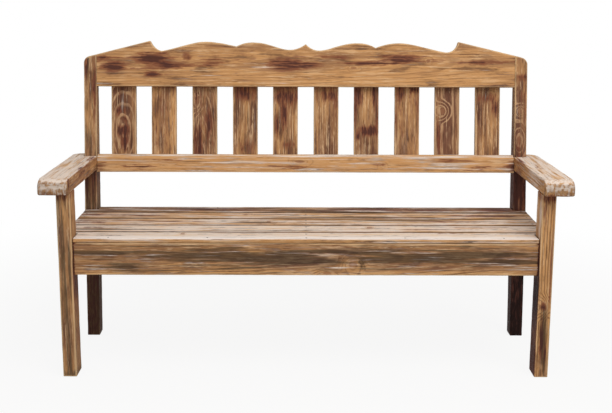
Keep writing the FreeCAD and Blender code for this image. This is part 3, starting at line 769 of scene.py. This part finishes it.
def pine(name, grain, burn_lift, contrast, edge):
    """Pine boards singed with a flame, brushed along the grain and left to weather."""
    wood = bpy.context.scene.bench_wood
    tree = emptied(bpy.data.materials.new(name))
    lines = add(tree, "ShaderNodeGroup", {"node_tree": grain}, {"Wander": wood.wander}).outputs
    parts = []
    for attribute in ("finish", "marks"):
        vector = add(tree, "ShaderNodeAttribute", {"attribute_name": attribute}, {}).outputs["Vector"]
        parts += add(tree, "ShaderNodeSeparateXYZ", {}, (vector,)).outputs
    tone, bleach_and_sheen, soot, burn, bare, dirt_and_gap_shade = parts

    def mask(level, mix, start, end, strength=1.0):
        """Where the sum of a level and some noises lies between start and end."""
        for line, weight in mix:
            level = add(tree, MATH, MULTIPLY_ADD, (lines[line], weight, level))
        return add(tree, MAP_RANGE, SMOOTH, (level, start, end, 0.0, strength))

    toned = mask(tone, (("Cloud", 1.6), ("Streak", 1.3), ("Blotch", 0.8)), 1.85, 2.85)
    shade, rings = (
        add(tree, "ShaderNodeMix", {"data_type": "RGBA"}, {0: toned, 6: dark, 7: light})
        for dark, light in ((wood.umber, wood.honey), (wood.ridge, wood.latewood))
    )
    patches = (("Blotch", 1.4), ("Streak", 0.8))
    sun_and_sheen_mix = (("Streak", -2.2), ("Blotch", -1.0), ("Fine", -0.8))
    brushed = (("Fine", 1.0), ("Grit", 0.5))
    flame = (("Streak", 1.5), ("Fine", 1.0), ("Grit", 1.3), ("Blotch", -0.4))
    # Each layer lies over those before it: colour, level, noises, where it starts and is full, strength
    for tint, level, mix, start, end, strength in (
        (wood.shadow, 0.0, patches, 1.06, 0.84, 0.6 * contrast),
        (wood.straw, 0.0, patches, 1.16, 1.4, 0.35 * contrast),
        (rings, 0.0, (("Ring", 1.0),), 0.0, 1.0, 0.75),
        # Pale upper faces: sun bleaching and painted sheen
        (wood.bleached, bleach_and_sheen, sun_and_sheen_mix, -1.64, -1.12, 0.92),
        (wood.straw, 0.0, brushed, 0.81, 0.92, 0.62 * contrast),
        (wood.hair, 0.0, brushed, 0.67, 0.56, 0.6 * contrast),
        (wood.knot, 0.0, (("Knot", 1.0),), 0.0, 1.0, 0.7),
        (wood.ridge, 0.0, (("Rim", 1.0), ("Blotch", 1.0)), 0.75, 1.6, 0.6),
        # Where a board's burns stand for shade, the ember, burnt and char layers paint that shade too
        (wood.ember, burn, flame, 2.12 - burn_lift, 2.42 - burn_lift, 0.75),
        (wood.soot, soot, (("Streak", 2.0), ("Fine", 1.2)), 2.0, 2.4, 0.8),
        (wood.burnt, burn, flame, 2.4 - burn_lift, 2.68 - burn_lift, 0.88),
        (wood.char, burn, flame, 2.95 - burn_lift, 3.45 - burn_lift, 0.92),
        (edge, bare, (("Fine", 0.8), ("Blotch", 1.2)), 1.35, 1.9, 0.62),
        # Soiling and painted shade of the gaps along the seat slats' edges; soiling on the front of an arm's nose
        (wood.grime_and_gap_shade, dirt_and_gap_shade, (("Grit", 0.6), ("Blotch", 0.6)), 0.95, 1.5, 0.6),
    ):
        cover = mask(level, mix, start, end, strength)
        shade = add(tree, "ShaderNodeMix", {"data_type": "RGBA"}, {0: cover, 6: shade, 7: tint})

    # Scorched, brushed wood is dull: its open pores swallow much of the gloss that smooth wood would have
    rough = add(tree, MAP_RANGE, {}, (lines["Fine"], 0.35, 0.65, 0.6, 0.85))
    height = mask(0.0, (("Ring", 0.4), ("Fine", 1.0), ("Grit", 0.5), ("Streak", 0.6)), 0.6, 1.6)
    bump = add(tree, "ShaderNodeBump", {}, {"Strength": 0.8, "Distance": 0.0022, "Height": height})
    links = {"Base Color": shade, "Roughness": rough, "IOR": 1.5, "Specular IOR Level": 0.1, "Normal": bump}
    surface = add(tree, "ShaderNodeBsdfPrincipled", {}, links)
    add(tree, "ShaderNodeOutputMaterial", {}, (surface,))


def steel():
    """Mild steel blackened in hot oil: dark, half dull, with a little brown bloom."""
    sizes = bpy.context.scene.bench_fasteners
    tree = emptied(bpy.data.materials.new(FINISHES["blackened_steel"]))
    place = add(tree, "ShaderNodeTexCoord", {}, {}).outputs["Object"]
    # Bloom spots of about 1.5 mm
    spots = add(tree, "ShaderNodeTexNoise", {}, {"Vector": place, "Scale": 660.0, "Detail": 3.0})
    bloom = add(tree, MAP_RANGE, SMOOTH, (spots, 0.45, 0.7))
    shade = add(tree, "ShaderNodeMix", {"data_type": "RGBA"}, {0: bloom, 6: sizes.steel, 7: sizes.rust})
    rough = add(tree, MAP_RANGE, {}, (spots, 0.3, 0.7, 0.38, 0.68))
    bump = add(tree, "ShaderNodeBump", {}, {"Strength": 0.3, "Distance": 0.0002, "Height": spots})
    links = {"Base Color": shade, "Metallic": 0.85, "Roughness": rough, "Normal": bump}
    surface = add(tree, "ShaderNodeBsdfPrincipled", {}, links)
    add(tree, "ShaderNodeOutputMaterial", {}, (surface,))


def shape_tree(name, inputs):
    """A new tree that makes a shape, and its inputs by name."""
    tree = bpy.data.node_groups.new(name, "GeometryNodeTree")
    for socket, kind in (*inputs.items(), ("Seed", "Int"), ("Material", "Material")):
        tree.interface.new_socket(socket, in_out="INPUT", socket_type="NodeSocket" + kind)
    tree.interface.new_socket("Shape", in_out="OUTPUT", socket_type="NodeSocketGeometry")
    return tree, tree.nodes.new("NodeGroupInput").outputs


def ended_tree(tree, copies, material):
    """The tree with its copies made real and coated."""
    real = add(tree, "GeometryNodeRealizeInstances", {}, (copies,))
    coated = add(tree, "GeometryNodeSetMaterial", {}, {"Geometry": real, "Material": material})
    add(tree, "NodeGroupOutput", {}, (coated,))
    return tree


def row_tree():
    """Repeats a board along a line; each copy is numbered and set down a hair off its place."""
    inputs = {"Board": "Geometry", "Count": "Int", "Pitch": "Vector", "Play": "Vector"}
    tree, given = shape_tree("Board row", inputs)
    line = add(tree, "GeometryNodeMeshLine", {"mode": "OFFSET"}, {"Count": given["Count"], "Offset": given["Pitch"]})
    copies = add(tree, "GeometryNodeInstanceOnPoints", {}, {"Points": line, "Instance": given["Board"]})
    less = add(tree, VECTOR_MATH, {"operation": "SCALE"}, {0: given["Play"], "Scale": -1.0})
    links = {0: less, 1: given["Play"], "Seed": given["Seed"]}
    stray = add(tree, "FunctionNodeRandomValue", {"data_type": "FLOAT_VECTOR"}, links)
    moved = add(tree, "GeometryNodeTranslateInstances", {}, {"Instances": copies, "Translation": stray})
    links = {"Geometry": moved, "Name": "board", "Value": add(tree, "GeometryNodeInputIndex", {}, {})}
    numbered = add(tree, "GeometryNodeStoreNamedAttribute", {"data_type": "INT", "domain": "INSTANCE"}, links)
    return ended_tree(tree, numbered, given["Material"])


def head_tree(name, crossed):
    """Sets a domed nail or screw head on every point, turned at random about its own axis."""
    tree, given = shape_tree(name, {"Places": "Geometry", "Radius": "Float", "Rise": "Float"})
    head = add(tree, "GeometryNodeMeshCircle", {"fill_type": "NGON"}, {"Vertices": 20, "Radius": given["Radius"]})
    foot = add(tree, "ShaderNodeCombineXYZ", {}, {"Z": add(tree, MATH, MULTIPLY, (given["Rise"], -1.6))})
    head = add(tree, "GeometryNodeTransform", {}, {"Geometry": head, "Translation": foot}).outputs[0]
    top = True
    # Each step of the dome takes a share of the rise and draws in
    for rise_share, narrowing in ((2.0, 1.0), (0.4, 0.93), (0.2, 0.72)):
        step = add(tree, MATH, MULTIPLY, (given["Rise"], rise_share))
        links = {"Mesh": head, "Selection": top, "Offset": (0, 0, 1), "Offset Scale": step, "Individual": False}
        raised = add(tree, "GeometryNodeExtrudeMesh", {"mode": "FACES"}, links).outputs
        top = raised["Top"]
        links = {"Geometry": raised["Mesh"], "Selection": top, "Scale": narrowing}
        head = add(tree, "GeometryNodeScaleElements", {"domain": "FACE"}, links).outputs[0]
    if crossed:
        # Two bars as long as the head is wide cut the cross
        size = {"Z": add(tree, MATH, MULTIPLY, (given["Rise"], 2.0))}
        lifted = add(tree, "ShaderNodeCombineXYZ", {}, {"Z": given["Rise"]})
        cut = add(tree, "GeometryNodeMeshBoolean", {"operation": "DIFFERENCE", "solver": "EXACT"}, {"Mesh 1": head})
        for shares in ((1.05, 0.26), (0.26, 1.05)):
            for way, share_of_radius in zip("XY", shares):
                size[way] = add(tree, MATH, MULTIPLY, (given["Radius"], share_of_radius))
            bar = add(tree, "GeometryNodeMeshCube", {}, {"Size": add(tree, "ShaderNodeCombineXYZ", {}, size)})
            slot = add(tree, "GeometryNodeTransform", {}, {"Geometry": bar, "Translation": lifted})
            tree.links.new(slot.outputs[0], cut.inputs["Mesh 2"])
        head = cut.outputs[0]
    aim = add(tree, "GeometryNodeInputNamedAttribute", {"data_type": "FLOAT_VECTOR"}, {"Name": "aim"})
    facing = add(tree, "FunctionNodeAlignRotationToVector", {"axis": "Z"}, {"Vector": aim})
    links = {2: 0.0, 3: math.tau, "Seed": given["Seed"]}
    spin = add(tree, "FunctionNodeRandomValue", {"data_type": "FLOAT"}, links)
    spin = add(tree, "FunctionNodeAxisAngleToRotation", {}, {"Axis": (0, 0, 1), "Angle": spin})
    facing = add(tree, "FunctionNodeRotateRotation", {"rotation_space": "LOCAL"}, (facing, spin))
    links = {"Points": given["Places"], "Instance": head, "Rotation": facing}
    return ended_tree(tree, add(tree, "GeometryNodeInstanceOnPoints", {}, links), given["Material"])


def grown(mesh, tree, slot, values):
    """The plain mesh that a tree with these inputs makes of a mesh."""
    piece = new_piece("start", mesh)
    modifier = piece.modifiers.new("Grow", "NODES")
    modifier.node_group = tree
    values["Material"] = bpy.data.materials[FINISHES[slot]]
    for item in tree.interface.items_tree:
        if item.in_out == "INPUT" and item.name in values:
            modifier[item.identifier] = values[item.name]
    result = settled(piece)
    if not result.vertices:
        raise RuntimeError("the tree " + tree.name + " made nothing")
    return result


# ---------------------------------------------------------------- pieces


class BENCH_OT_finishes(bpy.types.Operator):
    """Make the pine finishes and the blackened steel"""

    bl_idname = "bench.finishes"
    bl_label = "Finishes"

    def execute(self, context):
        grain = grain_tree()
        wood = context.scene.bench_wood
        # Singed with a flame and wire-brushed: dull, dark where the flame stood, pale hard hairs between
        pine(FINISHES["burnt_pine"], grain, 0.0, 1.0, wood.edge)
        # The same boards after years of sun: grey-white over the brushed grain, palest where it is rubbed; on the
        # upper faces the grey-white is partly painted sheen
        pine(FINISHES["bleached_pine"], grain, 0.0, 1.1, wood.silvered)
        # The flame stood longer on the rails under the seat, which no sun reaches
        pine(FINISHES["charred_pine"], grain, 0.2, 1.0, wood.edge)
        steel()
        return {"FINISHED"}


class BENCH_OT_legs(bpy.types.Operator):
    """Make the two front legs and the two rear posts"""

    bl_idname = "bench.legs"
    bl_label = "Legs and posts"

    def execute(self, context):
        for side in ("left", "right"):
            leg, post = "front_leg_" + side, "rear_post_" + side
            dress(leg, *worn(hull(on_sides(leg)), Z, (True, False)))
            dress(post, *worn(hull(node_points(post)), back_up))
        return {"FINISHED"}


class BENCH_OT_back_rails(bpy.types.Operator):
    """Make the scrolled crest rail and the lower back rail"""

    bl_idname = "bench.back_rails"
    bl_label = "Back rails"

    def execute(self, context):
        dress("crest_rail", *worn(thick("crest_rail", back_front), X, (False, False)))
        dress("lower_back_rail", *worn(hull(between_legs("lower_back_rail")), X, (False, False)))
        return {"FINISHED"}


class BENCH_OT_back_slats(bpy.types.Operator):
    """Make the row of upright back slats"""

    bl_idname = "bench.back_slats"
    bl_label = "Back slats"

    def execute(self, context):
        nodes = ["back_slat_%02d" % (i + 1) for i in range(slat_count)]
        slot, kind = LOOKS[nodes[0]][:2]
        board, near = worn(hull(node_points(nodes[0])), back_up)
        values = {"Count": slat_count, "Pitch": (slat_pitch, 0, 0), "Play": (0.0006, 0, 0), "Seed": 4}
        row = grown(meshed(board, *GRAIN[kind], near), row_tree(), slot, values)
        hang_up("worn_back_slats", weathered(row, nodes), nodes, slot)
        return {"FINISHED"}


class BENCH_OT_seat(bpy.types.Operator):
    """Make the five seat slats, the first and last notched round the legs"""

    bl_idname = "bench.seat"
    bl_label = "Seat slats"

    def execute(self, context):
        for i in range(seat_count):
            node = "seat_slat_%d" % (i + 1)
            dress(node, *worn(thick(node, Z), X))
        return {"FINISHED"}


class BENCH_OT_seat_rails(bpy.types.Operator):
    """Make the apron, the rear and side seat rails and the bearer"""

    bl_idname = "bench.seat_rails"
    bl_label = "Seat rails"

    def execute(self, context):
        for node in ("front_apron", "rear_seat_rail"):
            dress(node, *worn(hull(between_legs(node)), X, (False, False)))
        for node in ("side_rail_left", "side_rail_right"):
            dress(node, *worn(hull(on_sides(node)), Y, (False, False)))
        dress("middle_bearer", *worn(hull(node_points("middle_bearer")), Y, (False, False)))
        return {"FINISHED"}


def rounding(radius, reach):
    """How far a corner of this radius falls back at this reach from its end."""
    return radius - math.sqrt(radius**2 - max(0.0, radius - reach) ** 2)


def rolled(points, side):
    """An arm as one skin over rounded cross-sections that shrink into its nose and its tail."""
    sizes = bpy.context.scene.bench_boards
    # The flat top gives the arm's fall to the back
    ahead = max(points, key=lambda p: p.z)
    behind = max(points, key=lambda p: p.y + p.z)
    length_way = Vector((0, behind.y - ahead.y, behind.z - ahead.z)).normalized()
    up = X.cross(length_way)
    widths = [abs(p.x) for p in points]
    heights = [p.dot(up) for p in points]
    start = min(p.dot(length_way) for p in points)
    tail = max(p.y for p in points)
    end = min(p.dot(length_way) for p in points if p.y > tail - 2 * ON_PLANE)
    # Sections crowd together towards both ends, where the corners are
    crowded, quarter_steps = 15, 5
    reaches = [0.06 * (i / (crowded - 1)) ** 2.2 for i in range(crowded)]
    shell = bmesh.new()
    rows = []
    corners = []
    for station in [start + r for r in reaches] + [end - r for r in reversed(reaches)]:
        front, back = station - start, end - station
        square_end = rounding(sizes.open_edge, back)
        left = min(widths) + rounding(sizes.nose_inner, front) + square_end
        right = max(widths) - rounding(sizes.nose_outer, front) - rounding(sizes.tail_corner, back)
        low = min(heights) + rounding(sizes.open_edge, front) + square_end
        high = max(heights) - rounding(sizes.nose_roll, front) - square_end
        nearness = max(0.0, 1 - front / sizes.nose_run)
        row = []
        for quarter, (across, height, at_nose) in enumerate((
            (right, high, sizes.nose_crown),
            (left, high, sizes.nose_edge),
            (left, low, sizes.arm_edge),
            (right, low, sizes.arm_edge),
        )):
            radius = min(sizes.arm_edge + (at_nose - sizes.arm_edge) * nearness, 0.49 * (high - low))
            middle = across - math.copysign(radius, across - (left + right) / 2)
            centre = height - math.copysign(radius, height - (low + high) / 2)
            for step in range(quarter_steps + 1):
                angle = (quarter + step / quarter_steps) * math.pi / 2
                away = middle + radius * math.cos(angle)
                level = centre + radius * math.sin(angle)
                row.append(X * side * away + up * level + length_way * station)
        rows.append([shell.verts.new(p) for p in row])
        corners.append(row[2 :: quarter_steps + 1])
    for row, following in zip(rows, rows[1:]):
        for i in range(len(row)):
            shell.faces.new((row[i - 1], row[i], following[i], following[i - 1]))
    shell.faces.new(rows[0])
    shell.faces.new(rows[-1])
    bmesh.ops.recalc_face_normals(shell, faces=shell.faces[:])
    edges = [pair for row, following in zip(corners, corners[1:]) for pair in zip(row, following)]
    edges += [pair for row in (corners[3], corners[-4]) for pair in zip(row, row[1:] + row[:1])]
    return shell, [point for a, b in edges for point in dotted(a, b)]


class BENCH_OT_arms(bpy.types.Operator):
    """Make the two arms, each notched round its post"""

    bl_idname = "bench.arms"
    bl_label = "Arms"

    def execute(self, context):
        screws = heads_of("arm_screws")
        sink_radius = context.scene.bench_fasteners.arm_screw_head + 0.0004
        sink_depth = 0.0035
        ring = [math.tau * i / 16 for i in range(16)]
        for side, node in ((-1, "arm_left"), (1, "arm_right")):
            points = node_points(node)
            arm, near = rolled(points, side)
            # The notch is as deep as the post is, and runs out through the arm's inner side and tail
            inner = [p for p in points if abs(abs(p.x) - inner_x) < ON_PLANE]
            middle = sum((p.z for p in inner), 0.0) / len(inner)
            below = max((p for p in inner if p.z < middle), key=lambda p: p.y)
            above = max((p for p in inner if p.z > middle), key=lambda p: p.y)
            edge = side * min(abs(p.x) for p in points if p.y > above.y + 0.01)
            slope = (above - below).normalized() * 0.03
            notch = []
            for corner in (below - slope, above + slope):
                for x in (side * (inner_x - 0.03), edge):
                    notch += [Vector((x, corner.y + back, corner.z)) for back in (0, 0.2)]
            tools = [hull(notch)]
            for place, aim in screws:
                if place.x * side > 0:
                    rim = [Vector((0, math.cos(a), math.sin(a))) * sink_radius + place for a in ring]
                    tools.append(hull([p + aim * 0.01 for p in rim] + [p - aim * sink_depth for p in rim]))
            dress(node, carved(arm, tools), near)
        return {"FINISHED"}


def heads_of(node):
    """Where each nail or screw of a packed piece ends in its head, and which way the head looks."""
    shell = as_board(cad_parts[node].data)
    bmesh.ops.remove_doubles(shell, verts=shell.verts[:], dist=WELD)
    left = set(shell.verts)
    found = []
    while left:
        group = [left.pop()]
        for vertex in group:
            joined = {edge.other_vert(vertex) for edge in vertex.link_edges} & left
            left -= joined
            group += joined
        points = [Vector(p) for p in sorted(v.co[:] for v in group)]
        out = X if points[0].x > 0 else -X
        axis = {"seat_nails": Z, "arm_screws": out, "back_slat_screws": -back_front}[node]
        reach = max(p.dot(axis) for p in points)
        cap = [p for p in points if reach - p.dot(axis) < 2 * ON_PLANE]
        found.append((sum(cap, Vector()) / len(cap), axis))
    shell.free()
    return sorted(found, key=lambda pair: pair[0][:])


class BENCH_OT_fasteners(bpy.types.Operator):
    """Set the nail and screw heads"""

    bl_idname = "bench.fasteners"
    bl_label = "Nails and screws"

    def execute(self, context):
        sizes = context.scene.bench_fasteners
        plain = head_tree("Nail heads", False)
        crossed = head_tree("Screw heads", True)
        for node, tree, radius, rise, sink in (
            ("seat_nails", plain, sizes.nail_head, sizes.nail_rise, 0.0006),
            ("back_slat_screws", crossed, sizes.screw_head, sizes.screw_rise, 0.0006),
            ("arm_screws", crossed, sizes.arm_screw_head, sizes.screw_rise, 0.0022),
        ):
            heads = heads_of(node)
            mesh = bpy.data.meshes.new(node)
            mesh.from_pydata([place - aim * sink for place, aim in heads], [], [])
            aims = mesh.attributes.new("aim", "FLOAT_VECTOR", "POINT")
            aims.data.foreach_set("vector", [c for place, aim in heads for c in aim])
            result = grown(mesh, tree, "blackened_steel", {"Radius": radius, "Rise": rise, "Seed": 7})
            hang_up("heads_" + node, result, [node], "blackened_steel")
        return {"FINISHED"}


def looked_at(tree):
    """1 on a ray from the camera, and on one that gloss or glass turns, where the backdrop shows white."""
    path = add(tree, "ShaderNodeLightPath", {}, {}).outputs
    seen = path["Is Camera Ray"]
    for ray in ("Is Glossy Ray", "Is Transmission Ray"):
        seen = add(tree, MATH, MAXIMUM, (seen, path[ray]))
    return seen


class BENCH_OT_stage(bpy.types.Operator):
    """Set the camera, the lamps and the floor"""

    bl_idname = "bench.stage"
    bl_label = "Stage"

    def execute(self, context):
        scene = context.scene
        stage = scene.bench_stage
        scene.view_settings.view_transform = "Standard"

        level = Vector((math.sin(stage.turn), math.cos(stage.turn), 0))
        forward = level * math.cos(stage.tilt) - Z * math.sin(stage.tilt)
        right = Vector((math.cos(stage.turn), -math.sin(stage.turn), 0))
        down = forward.cross(right)
        rolled_right = right * math.cos(stage.roll) + down * math.sin(stage.roll)
        rolled_down = down * math.cos(stage.roll) - right * math.sin(stage.roll)
        lens = bpy.data.cameras.new("Camera")
        lens.sensor_width = 36.0
        lens.lens = stage.lens
        # The photograph's frame is cut a little off the line of sight
        lens.shift_x, lens.shift_y = -0.00015, -0.0002
        scene.camera = new_piece("Camera", lens)
        turned = Matrix((rolled_right, -rolled_down, -forward)).transposed()
        scene.camera.matrix_world = Matrix.Translation(stage.eye) @ turned.to_4x4()

        # Each lamp's place, watts, width and height
        for name, place, watts, width, height in (
            ("Key", Vector((0.9, -2.1, 3.4)), stage.key, 3.0, 2.0),
            ("Fill", Vector((-1.6, -3.4, 1.0)), stage.fill, 2.4, 1.6),
        ):
            lamp = bpy.data.lights.new(name, "AREA")
            lamp.shape = "RECTANGLE"
            lamp.size, lamp.size_y = width, height
            lamp.energy = watts
            aim = Z * 0.5 - place
            turned = aim.to_track_quat("-Z", "Y").to_matrix()
            new_piece(name, lamp).matrix_world = Matrix.Translation(place) @ turned.to_4x4()

        white = (1, 1, 1)
        scene.world = bpy.data.worlds.new("Studio")
        tree = emptied(scene.world)
        sky = add(tree, "ShaderNodeBackground", {}, (white, stage.sky))
        backdrop = add(tree, "ShaderNodeBackground", {}, (white, 1.0))
        mixed = add(tree, "ShaderNodeMixShader", {}, (looked_at(tree), sky, backdrop))
        add(tree, "ShaderNodeOutputWorld", {}, (mixed,))

        disc = bmesh.new()
        bmesh.ops.create_circle(disc, cap_ends=True, radius=9.0, segments=64)
        floor = new_piece("floor", as_mesh("floor", disc))
        paint = bpy.data.materials.new("studio_floor")
        tree = emptied(paint)
        place = add(tree, "ShaderNodeTexCoord", {}, {}).outputs["Object"]
        away = add(tree, VECTOR_MATH, LENGTH, (place,))
        # The painted floor passes into the white backdrop between these distances from the bench
        fade = add(tree, MAP_RANGE, SMOOTH, (away, 0.9, 2.4, 0.9, 1.0))
        fade = add(tree, MATH, MULTIPLY, (fade, looked_at(tree)))
        painted = add(tree, "ShaderNodeBsdfDiffuse", {}, (stage.floor,))
        glow = add(tree, "ShaderNodeEmission", {}, (white, 1.0))
        mixed = add(tree, "ShaderNodeMixShader", {}, (fade, painted, glow))
        add(tree, "ShaderNodeOutputMaterial", {}, (mixed,))
        floor.data.materials.append(paint)
        return {"FINISHED"}


OPERATORS = (
    BENCH_OT_stage,
    BENCH_OT_finishes,
    BENCH_OT_legs,
    BENCH_OT_back_rails,
    BENCH_OT_back_slats,
    BENCH_OT_seat,
    BENCH_OT_seat_rails,
    BENCH_OT_arms,
    BENCH_OT_fasteners,
)


class BENCH_PT_panel(bpy.types.Panel):
    """Lists the bench's pieces and settings"""

    bl_idname = "BENCH_PT_panel"
    bl_label = "Slatted Armbench"
    bl_space_type = "VIEW_3D"
    bl_region_type = "UI"
    bl_category = "Bench"

    def draw(self, context):
        for operator in OPERATORS:
            self.layout.operator(operator.bl_idname)
        for name, group in SETTINGS.items():
            box = self.layout.box()
            box.label(text=group.__doc__)
            for key in group.__annotations__:
                box.prop(getattr(context.scene, name), key)


def register():
    for kind in (*SETTINGS.values(), *OPERATORS, BENCH_PT_panel):
        bpy.utils.register_class(kind)
    for name, group in SETTINGS.items():
        setattr(bpy.types.Scene, name, bpy.props.PointerProperty(type=group))


def unregister():
    for name in SETTINGS:
        delattr(bpy.types.Scene, name)
    for kind in (BENCH_PT_panel, *reversed(OPERATORS), *SETTINGS.values()):
        bpy.utils.unregister_class(kind)


def main():
    register()
    for operator in OPERATORS:
        group, name = operator.bl_idname.split(".")
        getattr(getattr(bpy.ops, group), name)()


if __name__ == "__main__":
    main()
